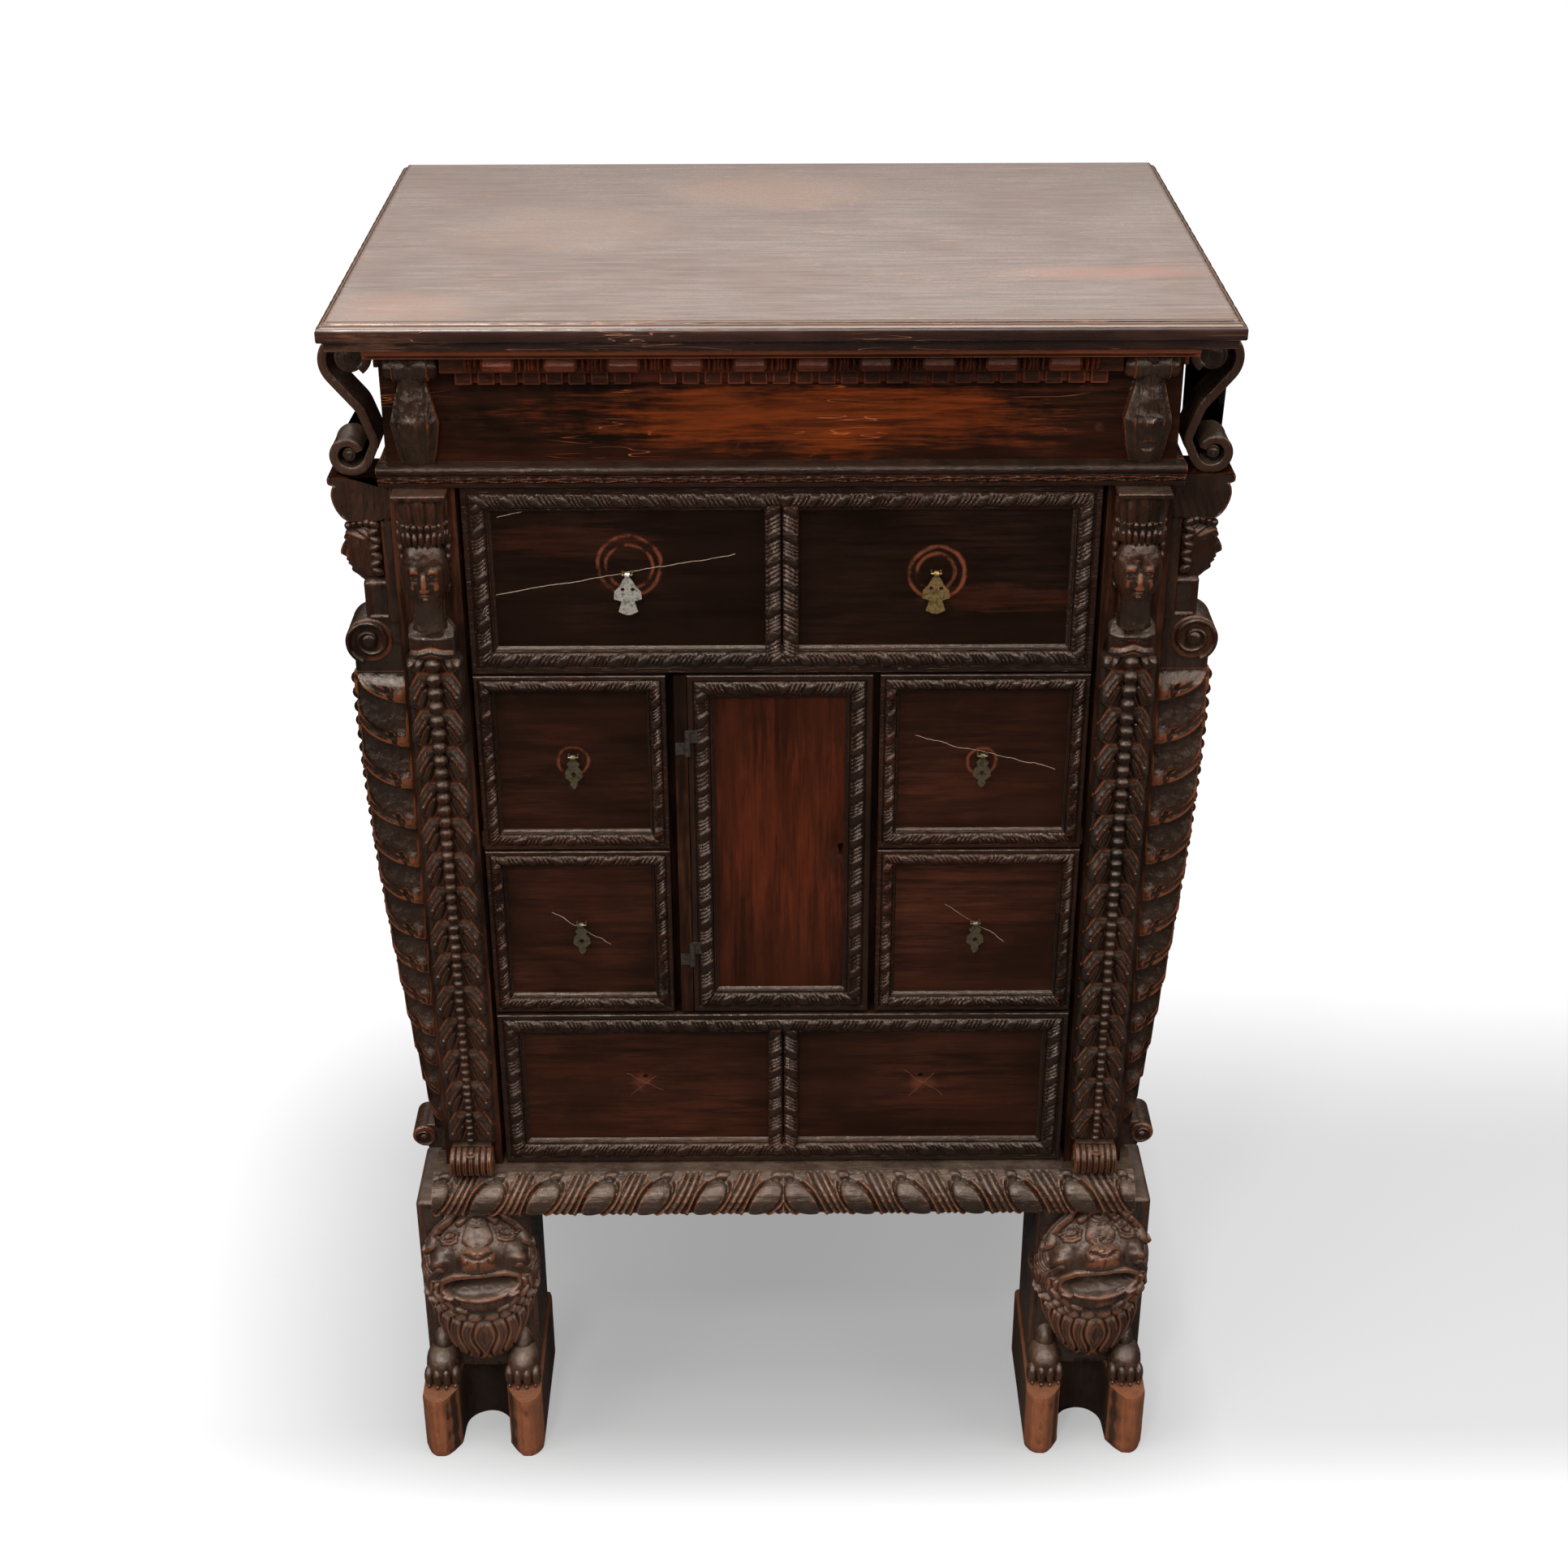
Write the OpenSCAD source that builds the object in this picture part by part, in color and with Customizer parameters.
// Carved walnut drawer cabinet on lion feet, with herm pilasters, scroll brackets,
// six drawers and a small locked door. Millimetres, +Z up, front towards -Y.
// The origin is on the floor, under the middle of the whole piece.

/* [Top and cornice] */
// Width of the top board
top_w = 740; // [720:1:780]
// Depth of the top board, front to back
top_d = 515; // [480:1:560]
// Thickness of the top board
top_t = 24; // [20:1:30]
// Height of the plain fillet under the top
fillet_h = 9; // [6:1:14]
// How far the fillet stands out in front of the drawer fronts
fillet_reach = 33; // [28:1:38]
// Height of the row of billets
billet_h = 17; // [12:1:22]
// How far the billets stand out in front of the drawer fronts
billet_reach = 20; // [16:1:24]
// Distance from one billet to the next
billet_pitch = 51; // [40:1:60]
// Height of the dentils
dentil_h = 15; // [10:1:20]
// How far the dentils stand out in front of the drawer fronts
dentil_reach = 10; // [8:1:14]
// Distance from one dentil to the next
dentil_pitch = 18.5; // [14:0.5:24]
// Gap between two dentils
dentil_gap = 3.5; // [2:0.5:6]
// Height of the frieze that shows between dentils and ledge
frieze_h = 66; // [55:0.5:80]
// Height of the ledge moulding over the top drawer
ledge_h = 21; // [16:1:26]
// How far the ledge stands out in front of the drawer fronts
ledge_reach = 16; // [13:1:18]
// How far cornice and ledge return beyond the side panels
return_reach = 7; // [5:1:9]

/* [Carcass] */
// Width over the two side panels
case_w = 658; // [640:1:680]
// Thickness of a side panel
side_t = 22; // [18:1:26]
// Thickness of the dividers, shelves and partitions
divider_t = 16; // [12:1:18]
// Thickness of the bottom board
bottom_board_t = 20; // [16:1:24]
// Thickness of the back panel
back_t = 12; // [8:1:16]
// How far the back of the case lies inside the back edge of the top
back_inset = 8; // [4:1:16]
// How far the drawer fronts lie behind the front edge of the top
face_inset = 45; // [40:1:50]
// Width of a front stile, behind a front herm
stile_w = 55; // [52:1:60]
// Height of the guide battens beside the drawers
guide_h = 18; // [12:1:24]
// Relief of the frame round a side panel
side_frame_t = 6; // [4:1:8]
// Width of the frame round a side panel
side_frame_w = 42; // [30:1:50]

/* [Base and feet] */
// Height of the base moulding
base_h = 37; // [30:1:44]
// How far the base moulding bulges in front of the drawer fronts
base_reach = 38; // [34:1:41]
// How far the base moulding returns beyond the side panels
base_return = 11; // [9:1:14]
// Height of the lion feet and the rear feet
foot_h = 285; // [270:1:310]
// How far the lion feet stand in front of the front edge of the top
foot_reach = 20; // [12:1:28]
// Distance between the centres of the two front feet
foot_spacing = 609; // [590:1:630]
// Width of a lion foot over its plinth
lion_w = 120; // [110:1:126]
// Depth of a lion foot over its plinth
lion_d = 152; // [140:1:170]
// Height of the plinth under a lion
plinth_h = 78; // [66:1:86]
// Width of one prong of the plinth
prong_w = 36; // [30:1:40]
// Length of the prongs in front of the web
prong_l = 56; // [46:1:62]
// Radius of the lion's mane and head
mane_r = 56; // [50:1:58]
// Height of the middle of the head over the plinth
head_up = 126; // [120:1:130]
// Radius of the lion's muzzle
muzzle_r = 28; // [25:1:30]
// Radius of a paw
paw_r = 17; // [14:1:19]
// Width and depth of a rear foot
rear_foot_w = 96; // [86:1:110]

/* [Drawers] */
// Height of the wide top drawer's front
top_drawer_h = 173; // [160:1:190]
// Height of a small drawer's front
small_drawer_h = 174; // [160:1:190]
// Height of the wide bottom drawer's front
bottom_drawer_h = 171; // [160:1:190]
// Gap between neighbouring fronts
reveal = 2.5; // [2:0.5:4]
// Gap between the bottom drawer and the small drawers
lower_reveal = 4; // [3:0.5:6]
// Gap between the fronts and the front stiles
stile_gap = 4; // [3:0.5:6]
// Width of the left small drawers' fronts
left_drawer_w = 168; // [160:1:175]
// Width of the right small drawers' fronts
right_drawer_w = 184; // [176:1:190]
// Thickness of the flat panel board of a front
panel_t = 15; // [12:1:18]
// Height of the frame's outer band over the panel
band_relief = 7; // [5:0.5:9]
// How far the carved roll stands over the outer band
roll_rise = 3; // [2:0.5:4]
// Radius of the carved roll
roll_r = 6; // [5:0.5:6]
// Width of the slope from the carved roll down to the panel
slope_w = 4; // [3:0.5:5]
// How far the foot of that slope lies below the outer band
slope_drop = 4; // [3:0.5:4.5]
// Width of the frame on the wide drawers and the door
wide_frame_w = 24; // [21:1:28]
// Width of the frame on the small drawers
small_frame_w = 18; // [17:1:20]
// Width of the carved stile between two panels of a wide drawer
centre_stile_w = 30; // [26:1:34]
// Thickness of the drawer sides and backs
box_wall = 10; // [8:1:12]
// Thickness of the drawer bottoms
box_bottom = 6; // [5:1:8]
// Room behind the drawer boxes, in front of the back
box_back_gap = 18; // [8:1:60]
// Clearance at each side of a drawer box
run_gap = 1; // [0.5:0.5:2]
// Clearance over a drawer box
head_gap = 3; // [2:0.5:5]
// Radius of an empty pull hole in the bottom drawer
pull_hole_r = 2.5; // [2:0.5:4]
// Distance of a wide drawer's pulls from the middle of the cabinet
wide_pull_x = 132; // [115:1:140]

/* [Door] */
// Width of the stile that carries the door's hinges
hinge_stile_w = 11; // [10:1:14]
// Gap between the left small drawers and the hinge stile
left_gap = 7; // [5:0.5:8]
// Gap between the door and the right small drawers
right_gap = 6.5; // [5:0.5:8]
// Gap between the door and its hinge stile
door_gap = 0.5; // [0.5:0.1:1]
// Radius of a hinge pin
pin_r = 1.6; // [1.2:0.1:2]
// Length of a hinge knuckle
knuckle_l = 12; // [8:1:16]
// Width of the lock case
lock_w = 44; // [36:1:50]
// Height of the lock case
lock_h = 56; // [44:1:70]
// Depth of the lock case
lock_d = 14; // [12:1:18]
// Height of the lock bolt
bolt_h = 12; // [8:1:16]
// Thickness of the lock bolt
bolt_t = 5; // [4:0.5:6]
// How far the bolt is thrown
bolt_throw = 12; // [9:0.5:12]

/* [Pulls] */
// Distance between a pull's axis and the panel
pull_out = 7; // [6:0.5:9]
// Wire radius of a staple
wire_r = 0.9; // [0.8:0.1:1.1]
// Length of the large winged pendants
wing_l = 37; // [30:1:42]
// Width of the large winged pendants
wing_w = 24; // [18:1:28]
// Length of the small drops
drop_l = 31; // [24:1:36]
// Width of the small drops
drop_w = 16; // [12:1:20]
// Thickness of the pendants
pendant_t = 1.6; // [1.2:0.1:2]

/* [Herms and brackets] */
// Width of a front herm at the shoulders
herm_w = 50; // [44:1:52]
// Width of a front herm at its foot
herm_foot_w = 46; // [40:1:50]
// Relief of a front herm's shaft
shaft_relief = 14; // [10:1:16]
// Radius of the largest bead on a front herm
bead_r = 7.5; // [6:0.5:8]
// Radius of the smallest bead on a front herm
bead_end_r = 3.5; // [3:0.5:5]
// Height of the crown over a herm's head
crown_h = 38; // [32:1:42]
// Height of a herm's head, from hair to chin
head_h = 78; // [70:1:84]
// Height of a herm's neck
neck_h = 14; // [10:1:18]
// Relief of a front herm's crown and head
head_relief = 27; // [22:1:30]
// Height of a herm's shoulders
shoulder_h = 50; // [40:1:60]
// Radius of the scroll at a herm's foot
foot_scroll_r = 15; // [12:1:17]
// Width of a side herm, front to back
side_herm_w = 52; // [46:1:56]
// Relief of a side herm at its crown and shoulder
side_herm_reach = 53; // [48:1:56]
// Relief of a side herm just over its foot scroll
side_foot_reach = 15; // [12:1:18]
// Distance of a side herm behind the front stile's face
side_herm_in = 15; // [12:1:24]
// Width of a front bracket at its rolls
bracket_w = 48; // [42:1:52]
// Width of a side bracket, front to back
side_bracket_w = 44; // [38:1:50]
// Radius of the upper scroll of a side bracket
upper_scroll_r = 28; // [25:1:30]
// Radius of the lower scroll of a side bracket
lower_scroll_r = 19; // [18:1:21]
// Thickness of the scrolled ribbon
ribbon_t = 8; // [6:0.5:9]

/* [Hidden] */
$fn = 48;

// Clearance between pieces that move past each other or are fitted loosely
seat = 0.3;
// Clearance that keeps boards of one assembly apart as separate pieces
joint_gap = 0.1;

// Depths, from the front
y_top = -(top_d + foot_reach) / 2 + foot_reach;
y_face = y_top + face_inset;
y_panel = y_face + band_relief;
y_front_back = y_panel + panel_t;
y_case = y_front_back + seat;
y_back = y_top + top_d - back_inset;
y_inner_back = y_back - back_t;
y_box_back = y_inner_back - box_back_gap;

// Widths, from the middle
case_x = case_w / 2;
inner_x = case_x - side_t;
open_x = case_x - stile_w;
front_x = open_x - stile_gap;
left_drawer_x = -front_x + left_drawer_w;
hinge_stile_x = left_drawer_x + left_gap;
door_x0 = hinge_stile_x + hinge_stile_w + door_gap;
right_drawer_x = front_x - right_drawer_w;
door_x1 = right_drawer_x - right_gap;
left_partition_x = left_drawer_x - 2;
right_partition_x = (door_x1 + right_drawer_x - divider_t) / 2;

// Middle of a front herm and its bracket, and the half length of the courses between the brackets
herm_x = open_x + stile_w / 2;
course_x = herm_x - bracket_w / 2 - seat;

// Heights, from the floor
z_base = foot_h + base_h;
z_bottom_drawer = z_base + reveal;
z_lower_gap = z_bottom_drawer + bottom_drawer_h;
z_lower_drawer = z_lower_gap + lower_reveal;
z_upper_drawer = z_lower_drawer + small_drawer_h + reveal;
z_upper_gap = z_upper_drawer + small_drawer_h;
z_top_drawer = z_upper_gap + reveal;
z_ledge = z_top_drawer + top_drawer_h + reveal;
z_frieze = z_ledge + ledge_h;
z_dentil = z_frieze + frieze_h;
z_billet = z_dentil + dentil_h;
z_fillet = z_billet + billet_h;
z_top = z_fillet + fillet_h;
total_h = z_top + top_t;

// The fronts lap over the dividers behind them by this much
lap = 7;
z_bottom_board = z_bottom_drawer + lap - bottom_board_t;
z_lower_divider = z_lower_gap + lower_reveal / 2 - divider_t / 2;
z_shelf = z_upper_drawer - reveal / 2 - divider_t / 2;
z_upper_divider = z_upper_gap + reveal / 2 - divider_t / 2;
z_ceiling = z_ledge - reveal - lap;

// The four levels that drawers stand on, and the head of each opening
levels = [
    z_bottom_board + bottom_board_t, z_lower_divider + divider_t,
    z_shelf + divider_t, z_upper_divider + divider_t];
heads = [z_lower_divider, z_shelf, z_upper_divider, z_ceiling];

// The door's hinge axis, just in front of the joint between stile and door
hinge_x = door_x0 - door_gap / 2;
knuckle_r = pin_r + 1;
hinge_y = y_face - knuckle_r - seat;
hinge_rise = 65;
lock_x = right_partition_x - 6.5;
lock_z = (z_lower_drawer + z_upper_gap) / 2;

walnut = [0.20, 0.11, 0.07];
dark_walnut = [0.13, 0.08, 0.06];
inner_wood = [0.45, 0.31, 0.19];
iron = [0.22, 0.20, 0.19];
brass = [0.52, 0.42, 0.22];
pewter = [0.50, 0.48, 0.44];

function arc(cx, cy, r, a0, a1, n) =
    [for (i = [0:n]) let (a = a0 + (a1 - a0) * i / n) [cx + r * cos(a), cy + r * sin(a)]];
// A closed outline from its right half, listed from the bottom up
function both_halves(h) =
    concat(h, [for (i = [len(h) - 1:-1:0]) [-h[i][0], h[i][1]]]);

module block(lo, hi) {
    translate(lo) cube(hi - lo);
}

// Extrudes a [y, z] outline along X
module along_x(x0, x1) {
    translate([x0, 0, 0]) rotate([90, 0, 90]) linear_extrude(x1 - x0) children();
}

// Extrudes an [x, z] outline along Y
module along_y(y0, y1) {
    translate([0, y1, 0]) rotate([90, 0, 0]) linear_extrude(y1 - y0) children();
}

module mirrored_left() {
    mirror([1, 0, 0]) children();
}

module on_both_sides() {
    children();
    mirror([1, 0, 0]) children();
}

// Top and cornice

module top_board() {
    nose = top_t / 3;
    step = 6;
    color(walnut) union() {
        block([-top_w / 2, y_top, z_top + nose], [top_w / 2, y_top + top_d, total_h - step / 3]);
        block([-top_w / 2 + step, y_top + step, total_h - step / 3 - 1],
              [top_w / 2 - step, y_top + top_d, total_h]);
        block([-top_w / 2 + step, y_top + step, z_top],
              [top_w / 2 - step, y_top + top_d, z_top + nose + 1]);
    }
}

module cornice_moulding() {
    side_x = case_x + return_reach;
    billets = floor(2 * course_x / billet_pitch);
    billet_l = 0.62 * billet_pitch;
    billet_r = billet_h * 0.42;
    row_y = y_face - billet_reach + billet_r;
    row_z = z_billet + billet_h / 2;
    color(dark_walnut) union() {
        block([-side_x, y_face - fillet_reach, z_fillet], [side_x, y_face, z_top]);
        block([-course_x, row_y, z_billet], [course_x, y_face, z_fillet]);
        on_both_sides() {
            block([case_x, y_face - 1, z_fillet], [side_x, y_back, z_top]);
            block([case_x, y_face, z_billet], [side_x - 3, y_back, z_fillet]);
        }
        for (i = [0:billets - 1]) translate([(i - (billets - 1) / 2) * billet_pitch, row_y, row_z]) {
            rotate([0, 90, 0]) cylinder(r = billet_r, h = billet_l, center = true);
            if (i > 0) translate([-billet_pitch / 2, 0, 0])
                rotate([0, 90, 0]) cylinder(r = billet_r, h = 0.1 * billet_pitch, center = true);
        }
    }
}

module dentil_course() {
    count = floor(2 * course_x / dentil_pitch);
    block_w = dentil_pitch - dentil_gap;
    x0 = -(count * dentil_pitch - dentil_gap) / 2;
    comb = [for (i = [0:count - 1]) for (p = [[0, 1], [0, 0], [1, 0], [1, 1]])
        [x0 + i * dentil_pitch + p[0] * block_w,
         p[1] == 0 ? y_face - dentil_reach : y_face - dentil_reach / 3]];
    color(dark_walnut) translate([0, 0, z_dentil]) linear_extrude(dentil_h)
        polygon(concat([[x0, y_face]], comb, [[-x0, y_face]]));
}

module frieze_board() {
    color(walnut) block([-case_x, y_face, z_ledge], [case_x, y_case, z_top]);
}

module ledge_moulding() {
    side_x = case_x + return_reach;
    bead_r = ledge_h * 0.2;
    profile = concat(
        [[y_face, z_ledge], [y_face - ledge_reach * 0.45, z_ledge]],
        [[y_face - ledge_reach * 0.5, z_ledge + 4]],
        [[y_face - ledge_reach * 0.75, z_ledge + ledge_h * 0.5]],
        arc(y_face - ledge_reach + bead_r, z_frieze - bead_r, bead_r, 200, 90, 6),
        [[y_face, z_frieze]]);
    color(dark_walnut) union() {
        along_x(-side_x, side_x) polygon(profile);
        on_both_sides() block([case_x, y_face - 1, z_ledge], [side_x, y_back, z_frieze]);
    }
}

// Carcass

module side_panel() {
    frame_y0 = y_face + side_herm_in + side_herm_w + joint_gap;
    frame_y1 = y_back - side_herm_in - side_herm_w - joint_gap;
    union() {
        block([inner_x, y_case, foot_h], [case_x, y_back, z_top]);
        difference() {
            block([case_x - 1, frame_y0, z_base + joint_gap],
                  [case_x + side_frame_t, frame_y1, z_ledge - joint_gap]);
            block([case_x, frame_y0 + side_frame_w, z_base + side_frame_w],
                  [case_x + side_frame_t + 1, frame_y1 - side_frame_w, z_ledge - side_frame_w]);
        }
    }
}

module side_panel_left() { color(walnut) mirrored_left() side_panel(); }
module side_panel_right() { color(walnut) side_panel(); }

module back_panel() {
    color(inner_wood) block([-inner_x, y_inner_back, foot_h], [inner_x, y_back, z_top]);
}

module case_board(z, t) {
    color(inner_wood) block([-inner_x, y_case, z], [inner_x, y_inner_back, z + t]);
}

module bottom_board() { case_board(z_bottom_board, bottom_board_t); }
module ceiling_board() { case_board(z_ceiling, divider_t); }
module upper_divider() { case_board(z_upper_divider, divider_t); }
module lower_divider() { case_board(z_lower_divider, divider_t); }

module partitions() {
    z0 = z_lower_divider + divider_t;
    mortise_d = bolt_throw + lock_x - right_partition_x + 2;
    color(inner_wood) {
        block([left_partition_x, y_case, z0],
              [left_partition_x + divider_t, y_inner_back, z_upper_divider]);
        difference() {
            block([right_partition_x, y_case, z0],
                  [right_partition_x + divider_t, y_inner_back, z_upper_divider]);
            block([right_partition_x - 1, bolt_y0() - 1, lock_z - bolt_h / 2 - 1],
                  [right_partition_x + mortise_d, bolt_y0() + bolt_t + 1, lock_z + bolt_h / 2 + 1]);
        }
    }
}

module drawer_shelves() {
    color(inner_wood) {
        block([-inner_x, y_case, z_shelf], [left_partition_x, y_inner_back, z_shelf + divider_t]);
        block([right_partition_x + divider_t, y_case, z_shelf], [inner_x, y_inner_back, z_shelf + divider_t]);
    }
}

module drawer_guides() {
    color(inner_wood) for (z = levels) on_both_sides()
        block([open_x, y_case, z], [inner_x, y_inner_back, z + guide_h]);
}

module front_stiles() {
    color(dark_walnut) on_both_sides() block([open_x, y_face, z_base], [case_x, y_case, z_ledge]);
}

module hinge_stile() {
    color(walnut) block([hinge_stile_x, y_face, z_lower_drawer],
                        [hinge_stile_x + hinge_stile_w, y_case, z_upper_gap]);
}

// Base and feet

module base_moulding() {
    side_x = case_x + base_return;
    torus_r = base_h * 0.42;
    profile = concat(
        [[y_case, foot_h], [y_face - base_reach * 0.8, foot_h]],
        arc(y_face - base_reach + torus_r, foot_h + base_h * 0.45, torus_r, 240, 110, 8),
        [[y_face - base_reach * 0.35, z_base - 3], [y_face - base_reach * 0.35, z_base], [y_case, z_base]]);
    color(dark_walnut) union() {
        along_x(-side_x, side_x) polygon(profile);
        on_both_sides() block([case_x, y_case - 1, foot_h], [side_x, y_back, z_base]);
    }
}

// A lion foot about its own middle: x = 0, the front of the plinth at y = 0
module lion_foot() {
    half = lion_w / 2;
    head_y = 74;
    head_z = plinth_h + head_up;
    muzzle_y = head_y - mane_r + 16;
    mouth_z = head_z + 2;
    plinth = concat(
        [[-half, 10], [-half + 8, 0], [-half + prong_w - 6, 0]],
        [[-half + prong_w, 12]],
        arc(0, prong_l - (half - prong_w) * 0.5, half - prong_w, 180, 0, 10),
        [[half - prong_w, 12], [half - prong_w + 6, 0], [half - 8, 0], [half, 10]],
        [[half, lion_d], [-half, lion_d]]);
    union() {
        linear_extrude(plinth_h) polygon(plinth);
        // Body, from the plinth up to the cabinet
        translate([0, 0, plinth_h - 1]) linear_extrude(foot_h - plinth_h + 1) polygon(concat(
            arc(0, head_y + 28, half - 7, 180, 360, 12),
            [[half - 7, lion_d - 6], [-half + 7, lion_d - 6]]));
        translate([0, head_y, head_z]) sphere(r = mane_r);
        translate([0, head_y + 6, head_z + mane_r * 0.6]) sphere(r = mane_r * 0.86);
        // Beard
        translate([0, head_y - mane_r * 0.25, head_z - mane_r * 1.18]) sphere(r = mane_r * 0.71);
        // Muzzle over the open mouth, and the jaw under it
        difference() {
            union() {
                translate([0, muzzle_y, head_z + 36]) sphere(r = muzzle_r);
                translate([0, muzzle_y, mouth_z - 8]) sphere(r = muzzle_r - 4);
            }
            translate([0, muzzle_y - muzzle_r + 4, mouth_z]) rotate([0, 90, 0])
                cylinder(r = 8, h = 2 * muzzle_r - 8, center = true);
        }
        // Brows and paws
        for (s = [-1, 1]) {
            translate([s * 24, muzzle_y + 12, head_z + 58]) sphere(r = 16);
            translate([s * (half - prong_w / 2), prong_l * 0.62, plinth_h + paw_r * 0.45]) sphere(r = paw_r);
        }
    }
}

module placed_lion(turn) {
    translate([foot_spacing / 2, y_top - foot_reach, 0])
        translate([0, lion_d / 2, 0]) rotate([0, 0, turn]) translate([0, -lion_d / 2, 0]) intersection() {
            lion_foot();
            translate([-lion_w, 0, 0]) cube([2 * lion_w, 2 * lion_d, foot_h]);
        }
}

module lion_foot_left() { color(dark_walnut) mirrored_left() placed_lion(0); }
module lion_foot_right() { color(dark_walnut) placed_lion(0); }

module rear_feet() {
    cap_h = 24;
    neck = 10;
    color(dark_walnut) on_both_sides() translate([foot_spacing / 2, y_back - rear_foot_w / 2, 0]) {
        half = rear_foot_w / 2;
        intersection() {
            along_x(-half, half) polygon([
                [-half, 0], [half, 0], [half, foot_h], [-half, foot_h], [-half, foot_h - cap_h],
                [-half + neck, foot_h - cap_h - neck], [-half + neck, plinth_h + neck], [-half, plinth_h]]);
            along_y(-half, half) polygon(both_halves([
                [half, 0], [half, plinth_h], [half - neck, plinth_h + neck],
                [half - neck, foot_h - cap_h - neck], [half, foot_h - cap_h], [half, foot_h]]));
        }
    }
}

// Herms and brackets

// Heights of a herm's parts, from the ledge down
z_crown = z_ledge - crown_h;
z_chin = z_crown - head_h;
z_neck = z_chin - neck_h;
z_shoulder = z_neck - shoulder_h;

module bead_string(z0, z1, r0, r1) {
    // Beads that shrink evenly from r1 at the top to r0 at the bottom, turned as one piece
    mean = r0 + r1;
    count = floor((z1 - z0) / mean);
    pitch = (z1 - z0) / count;
    half_circle = [for (k = [0:5]) k * 36];
    outline = [for (i = [0:count - 1]) let (r = r0 + (r1 - r0) * (i + 0.5) / count)
        for (a = half_circle) [max(1.2, r * sin(a)), z0 + pitch * (i + 0.5) - pitch / 2 * cos(a)]];
    rotate_extrude() polygon(concat([[0, z0]], outline, [[0, z1]]));
}

module front_herm() {
    half = herm_w / 2;
    foot = herm_foot_w / 2;
    front = both_halves(concat(
        [[foot, z_base], [foot, z_base + 2 * foot_scroll_r], [half, z_shoulder - 6], [half, z_shoulder + 26]],
        [[half - 7, z_neck], [half - 12, z_neck + 5], [half - 12, z_chin]],
        arc(0, z_crown - head_h / 2, half - 3, -50, 60, 6),
        [[half - 2, z_crown], [half - 4, z_crown + 6], [half - 1, z_ledge - 8], [half - 5, z_ledge]]));
    side = concat(
        [[0, z_base], [-shaft_relief, z_base], [-shaft_relief, z_shoulder]],
        [[-shaft_relief - 6, z_shoulder + 20]],
        [[-shaft_relief - 4, z_neck], [-head_relief * 0.55, z_chin], [-head_relief * 0.9, z_chin + 4]],
        [[-head_relief, z_chin + head_h * 0.35], [-head_relief * 0.9, z_chin + head_h * 0.7]],
        [[-head_relief * 0.95, z_crown], [-head_relief * 0.8, z_crown + 8]],
        [[-head_relief * 0.95, z_ledge - 8]],
        [[-head_relief * 0.7, z_ledge], [0, z_ledge]]);
    translate([herm_x, y_face, 0]) union() {
        intersection() {
            along_y(-head_relief - 1, 0) polygon(front);
            along_x(-herm_w, herm_w) polygon(side);
        }
        translate([0, -shaft_relief, 0])
            bead_string(z_base + 2 * foot_scroll_r, z_neck - 12, bead_end_r, bead_r);
        // Scroll at the foot
        translate([0, -foot_scroll_r, z_base + foot_scroll_r])
            rotate([0, 90, 0]) cylinder(r = foot_scroll_r, h = herm_foot_w - 4, center = true);
    }
}

module herm_front_left() { color(dark_walnut) mirrored_left() front_herm(); }
module herm_front_right() { color(dark_walnut) front_herm(); }

// A side herm, standing out of the side panel in X, between y = 0 and its width
module side_herm() {
    z_scroll = z_base + foot_scroll_r;
    z_foot = z_base + 2 * foot_scroll_r;
    z_swell = z_shoulder - 30;
    shaft = [for (i = [0:12]) let (t = i / 12)
        [side_foot_reach + (side_herm_reach - side_foot_reach) * pow(sin(90 * t), 0.9),
         z_foot + (z_swell - z_foot) * t]];
    outline = concat(
        [[0, z_base], [side_foot_reach, z_base]], shaft,
        arc(side_herm_reach - 22, z_neck - 22, 22, -20, 100, 8),
        [[side_herm_reach - 25, z_neck + 2], [side_herm_reach - 24, z_chin]],
        arc(side_herm_reach - head_h * 0.42 - 2, z_chin + head_h * 0.5, head_h * 0.42, -60, 60, 8),
        [[side_herm_reach - 12, z_crown + 6], [side_herm_reach + 2, z_ledge - 12]],
        [[side_herm_reach + 2, z_ledge], [0, z_ledge]]);
    union() {
        intersection() {
            along_y(0, side_herm_w) polygon(outline);
            along_x(-1, side_herm_reach + 10) polygon([
                [0, z_base], [side_herm_w, z_base], [side_herm_w, z_neck - 20], [side_herm_w - 9, z_neck],
                [side_herm_w - 9, z_chin], [side_herm_w, z_chin + 14], [side_herm_w, z_ledge],
                [0, z_ledge], [0, z_chin + 14], [9, z_chin], [9, z_neck], [0, z_neck - 20]]);
        }
        translate([side_foot_reach + foot_scroll_r / 2, 0, z_scroll + 4]) rotate([-90, 0, 0])
            cylinder(r = foot_scroll_r - 2, h = side_herm_w);
    }
}

module front_side_place(w) {
    translate([case_x, y_face + side_herm_in + (side_herm_w - w) / 2, 0]) children();
}

module rear_side_place(w) {
    translate([case_x, y_back - side_herm_in - (side_herm_w + w) / 2, 0]) children();
}

module herm_side_left() { color(dark_walnut) mirrored_left() front_side_place(side_herm_w) side_herm(); }
module herm_side_right() { color(dark_walnut) front_side_place(side_herm_w) side_herm(); }
module herms_rear() { color(dark_walnut) on_both_sides() rear_side_place(side_herm_w) side_herm(); }

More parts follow.
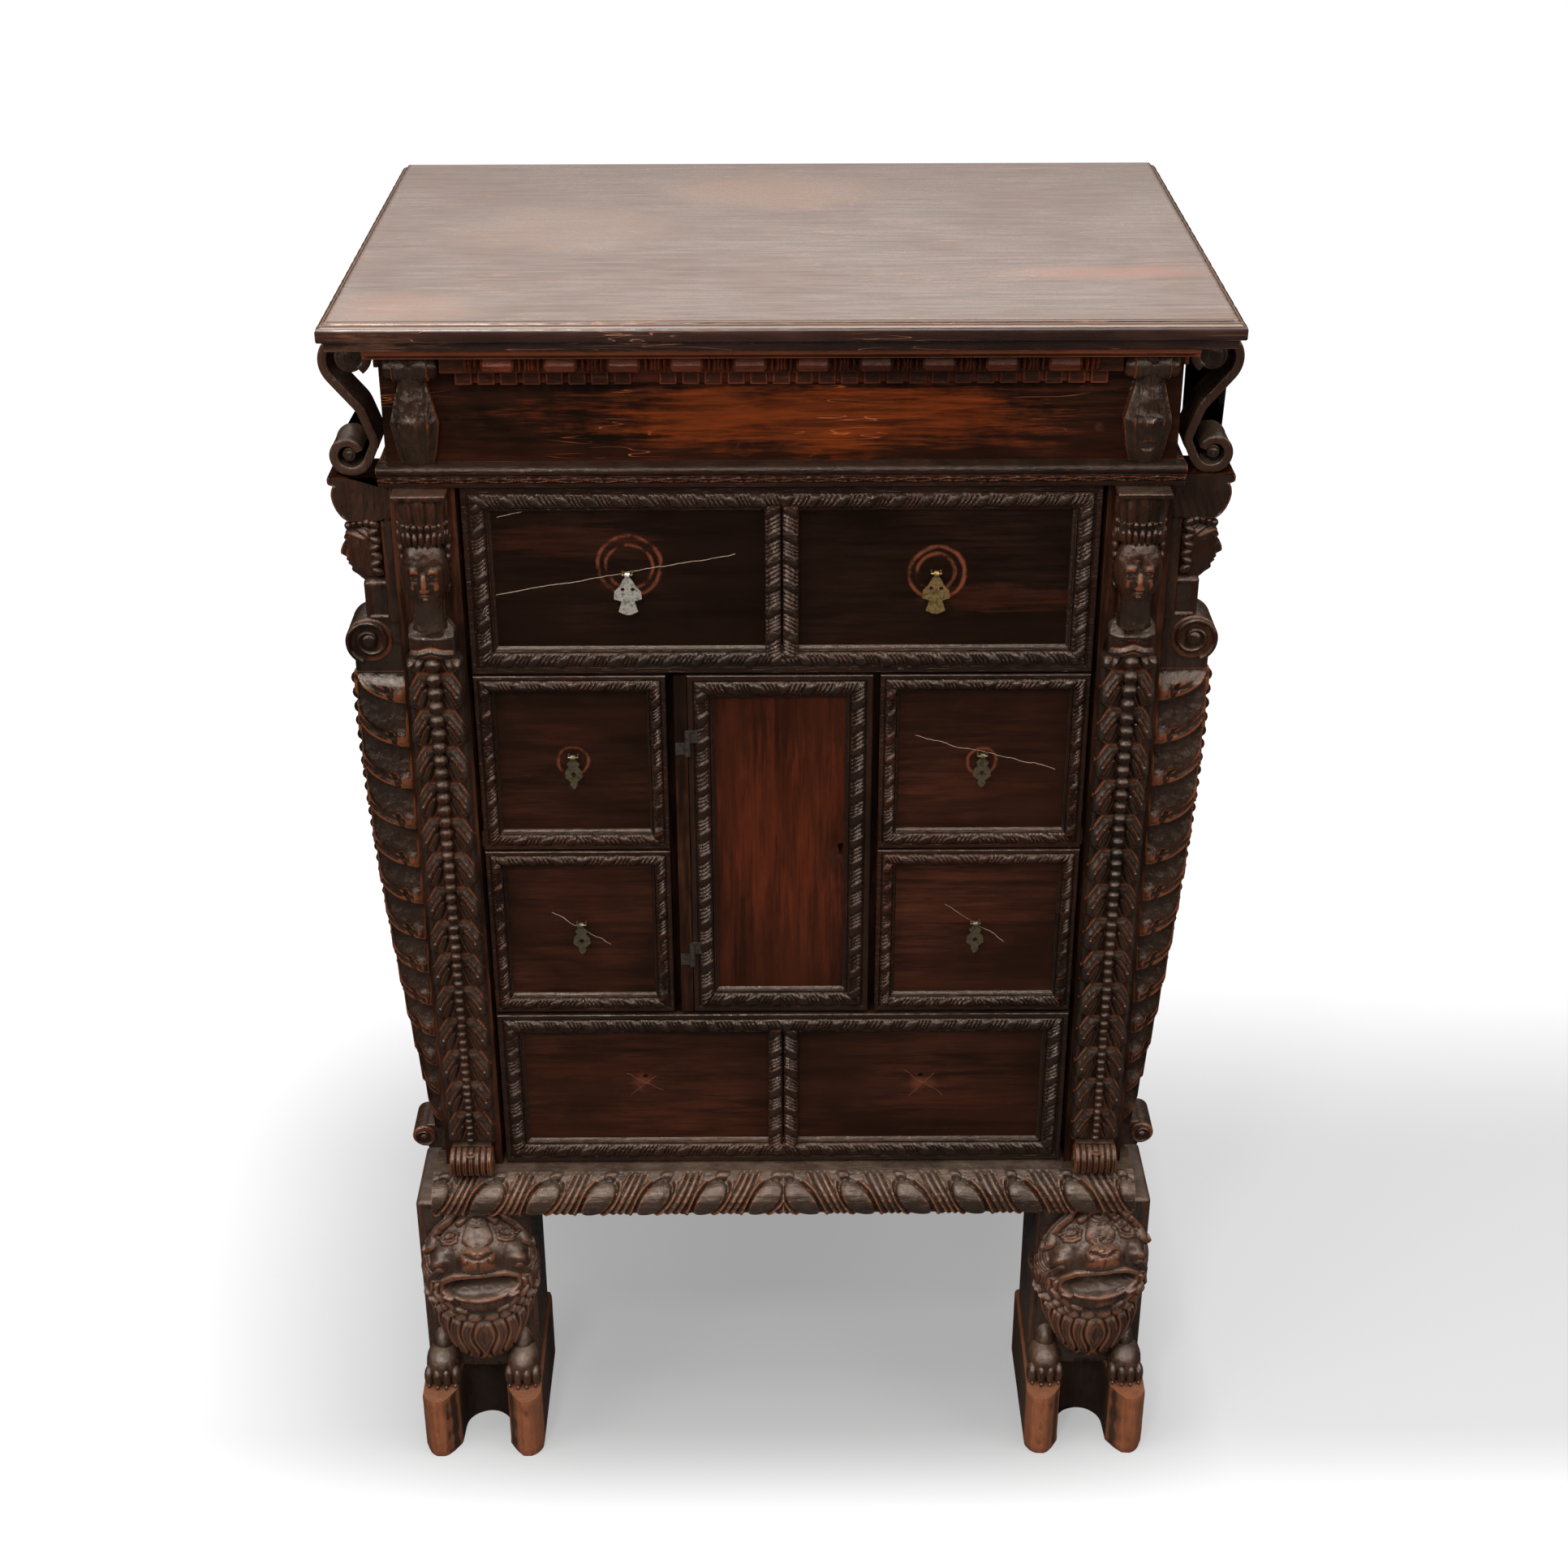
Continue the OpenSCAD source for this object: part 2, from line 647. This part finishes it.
module front_bracket() {
    roll_r = 13;
    half = bracket_w / 2;
    z0 = z_frieze + joint_gap;
    z1 = z_fillet;
    belly_z = z0 + (z1 - z0) * 0.4;
    roll_y = -fillet_reach + roll_r;
    translate([herm_x, y_face, 0]) union() {
        intersection() {
            along_y(-fillet_reach, 0) polygon(both_halves([
                [half * 0.62, z0], [half * 0.86, belly_z],
                [half * 0.55, z1 - 2 * roll_r], [half * 0.75, z1]]));
            along_x(-half, half) polygon([
                [0, z0], [-10, z0], [-22, belly_z], [-16, z1 - 2 * roll_r - 4],
                [roll_y - 4, z1 - roll_r], [roll_y, z1], [0, z1]]);
        }
        translate([0, roll_y, z1 - roll_r])
            rotate([0, 90, 0]) cylinder(r = roll_r, h = bracket_w, center = true);
    }
}

module brackets_front() {
    color(walnut) on_both_sides() front_bracket();
}

// Points on a spiral round c, from radius r0 at angle a0 to radius r1 at angle a1
function spiral(c, r0, r1, a0, a1, n) =
    [for (i = [0:n]) let (k = i / n, a = a0 + (a1 - a0) * k, r = r0 + (r1 - r0) * k)
        [c[0] + r * cos(a), c[1] + r * sin(a)]];
function across(path, i) =
    let (d = path[min(i + 1, len(path) - 1)] - path[max(i - 1, 0)]) [-d[1], d[0]] / norm(d);
// Outline of a band of thickness t along a path
function band(path, t) = concat(
    [for (i = [0:len(path) - 1]) path[i] + across(path, i) * t / 2],
    [for (i = [len(path) - 1:-1:0]) path[i] - across(path, i) * t / 2]);

// Open scroll bracket in profile, standing out of the side panel in X: one band that
// curls in under the top, runs down to the wall and curls out again over the herm
module side_bracket(w) {
    reach = side_herm_reach + 2;
    half = ribbon_t / 2;
    upper_r = upper_scroll_r - half;
    lower_r = lower_scroll_r - half;
    upper = [reach - upper_scroll_r, z_top - joint_gap - upper_scroll_r + 3];
    lower = [reach - lower_scroll_r - 2, z_ledge + joint_gap + lower_scroll_r];
    wall_x = return_reach + seat + half;
    turn_in = 0.55;
    eye_r = 0.37 * lower_r;
    path = concat(
        spiral(upper, upper_r * turn_in, upper_r, 230, -40, 14),
        [[wall_x + upper_r * 0.42, (upper[1] + lower[1]) / 2], [wall_x, lower[1] + lower_r * 0.7]],
        spiral(lower, lower_r * 1.12, lower_r, 190, 275, 5),
        spiral(lower, lower_r, lower_r * 0.62, 295, 520, 12));
    inset = half / 2;
    along_y(0, w) polygon(band(path, ribbon_t));
    along_y(inset, w - inset) {
        translate(upper) circle(r = upper_r * turn_in);
        translate(lower) circle(r = eye_r);
    }
}

module brackets_side() {
    color(dark_walnut) on_both_sides() front_side_place(side_bracket_w) side_bracket(side_bracket_w);
}

module brackets_rear() {
    color(dark_walnut) on_both_sides() rear_side_place(side_bracket_w) side_bracket(side_bracket_w);
}

// Drawers

// One strip of frame moulding, l long and w wide, lying on z = 0 with mitred ends
module frame_strip(l, w) {
    band = w - 2 * roll_r - slope_w;
    profile = concat(
        [[0, 0], [0, band_relief], [band, band_relief]],
        arc(band + roll_r, band_relief + roll_rise - roll_r, roll_r, 150, 0, 6),
        [[w - slope_w, band_relief - slope_drop * 0.75], [w, band_relief - slope_drop], [w, 0]]);
    intersection() {
        along_x(0, l) polygon(profile);
        linear_extrude(band_relief + roll_rise + 1) polygon([[0, 0], [l, 0], [l - w, w], [w, w]]);
    }
}

module frame_ring(l, h, w) {
    for (a = [0:3]) let (along = a % 2 == 0 ? l : h, across = a % 2 == 0 ? h : l)
        rotate([0, 0, 90 * a]) translate([-along / 2, -across / 2, 0]) frame_strip(along, w);
}

// Stands flat work made on z = 0 up at the panel plane, centred in the given opening
module on_front(x0, x1, z0, z1) {
    translate([(x0 + x1) / 2, y_panel, (z0 + z1) / 2]) rotate([90, 0, 0]) children();
}

module front_board(x0, x1, z0, z1) {
    block([x0, y_panel, z0], [x1, y_front_back, z1]);
}

module framed_front(x0, x1, z0, z1) {
    color(walnut) union() {
        front_board(x0, x1, z0, z1);
        on_front(x0, x1, z0, z1) frame_ring(x1 - x0, z1 - z0, small_frame_w);
    }
}

// Frame of a wide drawer, with a stile of two carved rolls between its panels
module wide_frame(z0, h) {
    r = centre_stile_w / 4;
    roll_z = band_relief + roll_rise - r;
    half_stile = concat(
        [[-2 * r, 0]], arc(-r, roll_z, r, 180, 0, 8), arc(r, roll_z, r, 180, 0, 8), [[2 * r, 0]]);
    color(dark_walnut) on_front(-front_x, front_x, z0, z0 + h) union() {
        frame_ring(2 * front_x, h, wide_frame_w);
        along_y(-(h - wide_frame_w) / 2, (h - wide_frame_w) / 2) polygon(half_stile);
    }
}

// Drawer box for the opening x0..x1 by z0..z1: two sides and a back, and a loose-fitted bottom
module drawer_box(x0, x1, z0, z1) {
    xa = x0 + run_gap;
    xb = x1 - run_gap;
    za = z0 + seat;
    zb = z1 - head_gap;
    color(inner_wood) {
        difference() {
            block([xa, y_front_back, za], [xb, y_box_back, zb]);
            block([xa + box_wall, y_front_back - 1, za - 1],
                  [xb - box_wall, y_box_back - box_wall, zb + 1]);
        }
        block([xa + box_wall + joint_gap, y_front_back, za],
              [xb - box_wall - joint_gap, y_box_back - box_wall - joint_gap, za + box_bottom]);
    }
}

// Wire staple driven into the panel, with its bar along X at the pull's axis
module staple(x, z, w) {
    for (s = [-1, 1]) translate([x + s * w / 2, y_panel, z])
        rotate([90, 0, 0]) cylinder(r = wire_r, h = pull_out);
    translate([x - w / 2, y_panel - pull_out, z]) rotate([0, 90, 0]) cylinder(r = wire_r, h = w);
    for (s = [-1, 1]) translate([x + s * w / 2, y_panel - pull_out, z]) sphere(r = wire_r);
}

module pull_eye(l) {
    rotate([0, 90, 0]) difference() {
        cylinder(r = wire_r + 1.8, h = l, center = true);
        cylinder(r = wire_r + 0.4, h = l + 2, center = true);
    }
}

// Winged pendant: eye, waist and a pair of spread wings, pierced twice
module winged_pendant() {
    eye_r = wire_r + 1.8;
    half = wing_w / 2;
    pull_eye(4);
    along_y(-pendant_t / 2, pendant_t / 2) difference() {
        polygon(both_halves([
            [2, -wing_l], [half * 0.7, -wing_l + 3], [half * 0.45, -wing_l * 0.66], [half, -wing_l * 0.6],
            [half * 0.95, -wing_l * 0.42], [half * 0.6, -wing_l * 0.3], [half * 0.34, -wing_l * 0.14],
            [1.6, -eye_r + 0.6]]));
        for (s = [-1, 1]) translate([s * half * 0.36, -wing_l * 0.36]) circle(r = 1.8);
    }
}

// Small pierced drop
module drop_pendant() {
    eye_r = wire_r + 1.8;
    half = drop_w / 2;
    pull_eye(4);
    along_y(-pendant_t / 2, pendant_t / 2) difference() {
        polygon(both_halves([
            [0.8, -drop_l], [half * 0.45, -drop_l * 0.86], [half * 0.35, -drop_l * 0.78],
            [half, -drop_l * 0.62],
            [half * 0.9, -drop_l * 0.44], [half * 0.5, -drop_l * 0.3], [half * 0.7, -drop_l * 0.2],
            [1.6, -eye_r + 0.6]]));
        translate([0, -drop_l * 0.54]) rotate(45) square(drop_w * 0.26, center = true);
    }
}

module pull_place(x, z) {
    translate([x, y_panel - pull_out, z]) children();
}

staple_w = 8;
wide_pull_z = z_top_drawer + top_drawer_h * 0.54;
bottom_pull_z = z_bottom_drawer + bottom_drawer_h * 0.56;
left_pull_x = -front_x + left_drawer_w / 2;
right_pull_x = front_x - right_drawer_w / 2;
upper_pull_z = z_upper_drawer + small_drawer_h * 0.54;
lower_pull_z = z_lower_drawer + small_drawer_h * 0.55;

module top_drawer_front() {
    color(walnut) front_board(-front_x, front_x, z_top_drawer, z_top_drawer + top_drawer_h);
}
module top_drawer_frame() { wide_frame(z_top_drawer, top_drawer_h); }
module top_drawer_box() { drawer_box(-open_x, open_x, levels[3], heads[3]); }
module top_drawer_staples() { color(iron) on_both_sides() staple(wide_pull_x, wide_pull_z, staple_w); }
module winged_pull_left() { color(pewter) pull_place(-wide_pull_x, wide_pull_z) winged_pendant(); }
module winged_pull_right() { color(brass) pull_place(wide_pull_x, wide_pull_z) winged_pendant(); }

module bottom_drawer_front() {
    color(walnut) difference() {
        front_board(-front_x, front_x, z_bottom_drawer, z_bottom_drawer + bottom_drawer_h);
        for (s = [-1, 1]) translate([s * wide_pull_x, y_panel - 1, bottom_pull_z]) rotate([-90, 0, 0])
            cylinder(r = pull_hole_r, h = panel_t + 2);
    }
}
module bottom_drawer_frame() { wide_frame(z_bottom_drawer, bottom_drawer_h); }
module bottom_drawer_box() { drawer_box(-open_x, open_x, levels[0], heads[0]); }

module left_front(z) { framed_front(-front_x, left_drawer_x, z, z + small_drawer_h); }
module right_front(z) { framed_front(right_drawer_x, front_x, z, z + small_drawer_h); }
module left_box(level) { drawer_box(-open_x, left_partition_x, levels[level], heads[level]); }
module right_box(level) { drawer_box(right_partition_x + divider_t, open_x, levels[level], heads[level]); }

module upper_left_front() { left_front(z_upper_drawer); }
module upper_left_box() { left_box(2); }
module upper_left_staple() { color(iron) staple(left_pull_x, upper_pull_z, staple_w); }
module upper_left_pull() { color(brass) pull_place(left_pull_x, upper_pull_z) drop_pendant(); }
module lower_left_front() { left_front(z_lower_drawer); }
module lower_left_box() { left_box(1); }
module lower_left_staple() { color(iron) staple(left_pull_x, lower_pull_z, staple_w); }
module lower_left_pull() { color(brass) pull_place(left_pull_x, lower_pull_z) drop_pendant(); }
module upper_right_front() { right_front(z_upper_drawer); }
module upper_right_box() { right_box(2); }
module upper_right_staple() { color(iron) staple(right_pull_x, upper_pull_z, staple_w); }
module upper_right_pull() { color(brass) pull_place(right_pull_x, upper_pull_z) drop_pendant(); }
module lower_right_front() { right_front(z_lower_drawer); }
module lower_right_box() { right_box(1); }
module lower_right_staple() { color(iron) staple(right_pull_x, lower_pull_z, staple_w); }
module lower_right_pull() { color(brass) pull_place(right_pull_x, lower_pull_z) drop_pendant(); }

// Door

key_x = lock_x - lock_w * 0.35;

module door_board() {
    color(walnut) difference() {
        front_board(door_x0, door_x1, z_lower_drawer, z_upper_gap);
        translate([key_x, y_panel - 1, lock_z]) rotate([-90, 0, 0]) cylinder(r = 3, h = panel_t + 2);
        block([key_x - 1.5, y_panel - 1, lock_z - 9], [key_x + 1.5, y_front_back + 1, lock_z]);
    }
}

module door_frame() {
    color(dark_walnut) on_front(door_x0, door_x1, z_lower_drawer, z_upper_gap)
        frame_ring(door_x1 - door_x0, z_upper_gap - z_lower_drawer, wide_frame_w);
}

hinge_levels = [z_lower_drawer + hinge_rise, z_upper_gap - hinge_rise];
leaf_t = 1.2;

// Pins that stand in a fixed knuckle on the stile
module hinge_pins() {
    color(iron) for (z = hinge_levels) {
        translate([hinge_x, hinge_y, z - knuckle_l]) cylinder(r = knuckle_r, h = knuckle_l - seat);
        translate([hinge_x, hinge_y, z - seat - 1]) cylinder(r = pin_r, h = knuckle_l + 1);
        block([hinge_x - hinge_stile_w, y_face - leaf_t, z - knuckle_l], [hinge_x, y_face, z - seat]);
        block([hinge_x - pin_r, hinge_y, z - knuckle_l], [hinge_x, y_face, z - seat]);
    }
}

// Eyes on the door that turn on the pins
module hinge_eyes() {
    leaf_w = 9;
    color(iron) for (z = hinge_levels) {
        difference() {
            union() {
                translate([hinge_x, hinge_y, z]) cylinder(r = knuckle_r, h = knuckle_l);
                block([hinge_x + door_gap, y_face - leaf_t, z], [hinge_x + leaf_w, y_face, z + knuckle_l]);
                block([hinge_x + door_gap, hinge_y, z], [hinge_x + pin_r, y_face, z + knuckle_l]);
            }
            translate([hinge_x, hinge_y, z - 1]) cylinder(r = pin_r + 0.08, h = knuckle_l + 2);
        }
    }
}

function bolt_y0() = y_front_back + (lock_d - bolt_t) / 2;

module door_lock() {
    color(iron) difference() {
        block([lock_x - lock_w, y_front_back, lock_z - lock_h / 2],
              [lock_x, y_front_back + lock_d, lock_z + lock_h / 2]);
        block([lock_x - lock_w - 1, bolt_y0() - seat, lock_z - bolt_h / 2 - seat],
              [lock_x + 1, bolt_y0() + bolt_t + seat, lock_z + bolt_h / 2 + seat]);
    }
}

module lock_bolt() {
    color(iron) block([lock_x - lock_w + 1, bolt_y0(), lock_z - bolt_h / 2],
                      [lock_x, bolt_y0() + bolt_t, lock_z + bolt_h / 2]);
}

top_board();
cornice_moulding();
dentil_course();
frieze_board();
ledge_moulding();
side_panel_left();
side_panel_right();
back_panel();
bottom_board();
ceiling_board();
upper_divider();
lower_divider();
partitions();
drawer_shelves();
drawer_guides();
front_stiles();
hinge_stile();
base_moulding();
herm_front_left();
herm_front_right();
herm_side_left();
herm_side_right();
herms_rear();
brackets_front();
brackets_side();
brackets_rear();
lion_foot_left();
lion_foot_right();
rear_feet();
top_drawer_front();
top_drawer_frame();
top_drawer_box();
top_drawer_staples();
winged_pull_left();
winged_pull_right();
bottom_drawer_front();
bottom_drawer_frame();
bottom_drawer_box();
upper_left_front();
upper_left_box();
upper_left_staple();
upper_left_pull();
lower_left_front();
lower_left_box();
lower_left_staple();
lower_left_pull();
upper_right_front();
upper_right_box();
upper_right_staple();
upper_right_pull();
lower_right_front();
lower_right_box();
lower_right_staple();
lower_right_pull();
door_board();
door_frame();
hinge_pins();
hinge_eyes();
door_lock();
lock_bolt();
